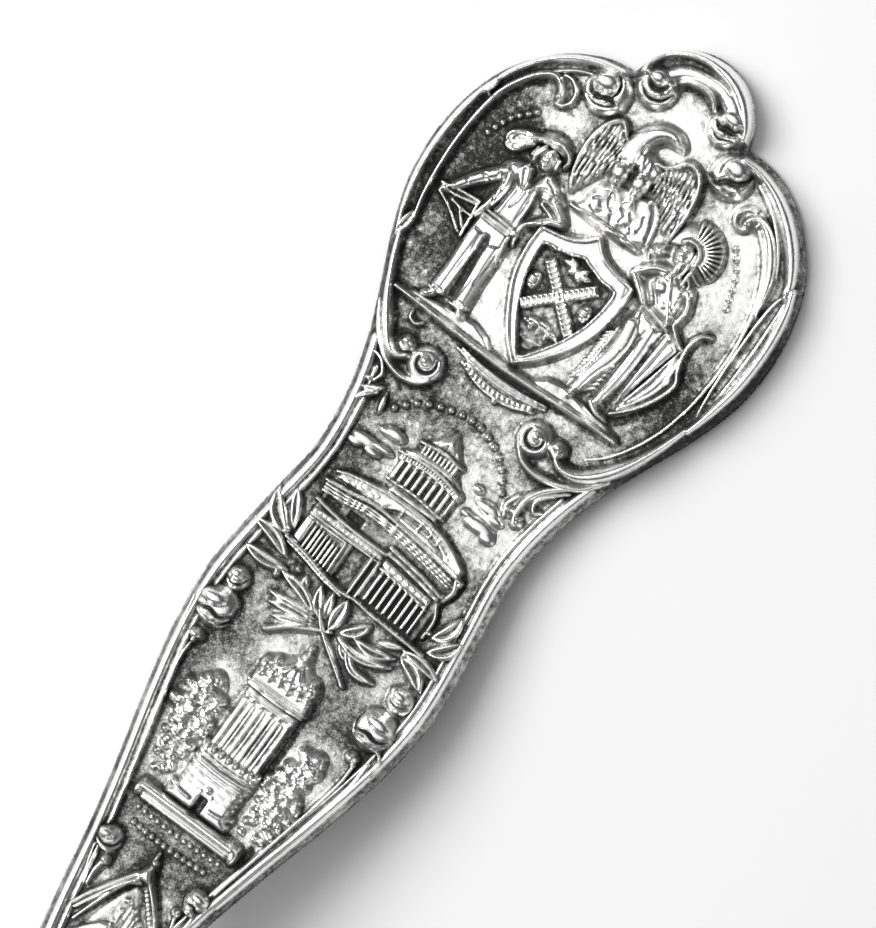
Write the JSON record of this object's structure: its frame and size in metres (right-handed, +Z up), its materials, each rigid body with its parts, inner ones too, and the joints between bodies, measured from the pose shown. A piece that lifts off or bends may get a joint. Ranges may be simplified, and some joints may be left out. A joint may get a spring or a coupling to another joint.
{
  "type": "souvenir spoon",
  "caption": "Teaspoon with a deep oval bowl, a slim arched stem and a wide flat handle that carries a relief of scrolls, figures, a shield and buildings.",
  "frame": {"origin": "under the middle of the spoon, on the surface it rests on", "axes": "+Y along the spoon towards the handle's tip, +Z up, out of the handle's face"},
  "size_m": [0.0314, 0.149, 0.0118],
  "materials": {
    "silver": "polished silver with a grey patina in the hollows",
    "recess_silver": "silver left grey by tarnish"
  },
  "bodies": {
    "root": {"bowl": "silver", "heel_drop": "silver", "stem": "silver", "blade": "silver", "stem_rails": "silver", "edge_rail_left": "silver", "edge_rail_right": "silver", "cap_scroll": "silver", "medallion_scroll_left": "silver", "medallion_scroll_right": "silver", "medallion_rail_left": "silver", "medallion_rail_right": "silver", "inner_scroll_left": "silver", "inner_scroll_right": "silver", "lower_scroll_left": "silver", "lower_scroll_right": "silver", "bead_arcs": "silver", "bird_wings": "silver", "bird_body": "silver", "perch": "silver", "left_supporter": "silver", "left_supporter_hat": "silver", "left_supporter_instrument": "silver", "right_supporter": "silver", "right_supporter_headdress": "silver", "right_supporter_bow": "silver", "shield_frame": "silver", "shield_field": "recess_silver", "shield_saltire": "silver", "shield_charges": "silver", "ground_bar": "silver", "swag": "silver", "title_beads": "silver", "leaf_tufts": "silver", "clouds": "silver", "rotunda_roof": "silver", "rotunda_drum": "silver", "attic": "silver", "main_block": "recess_silver", "portico_left": "silver", "portico_right": "silver", "terrace": "silver", "laurel_left": "silver", "laurel_right": "silver", "hip_scroll_left": "silver", "hip_scroll_right": "silver", "panel_rail_left": "silver", "panel_rail_right": "silver", "monument_dome": "silver", "monument_columns": "silver", "monument_base": "silver", "monument_steps": "silver", "trees_left": "silver", "trees_right": "silver", "caption_beads": "silver", "lower_curls": "silver", "bridge_tower": "silver", "bridge_cables": "silver", "bridge_deck": "silver"}
  },
  "joints": []
}
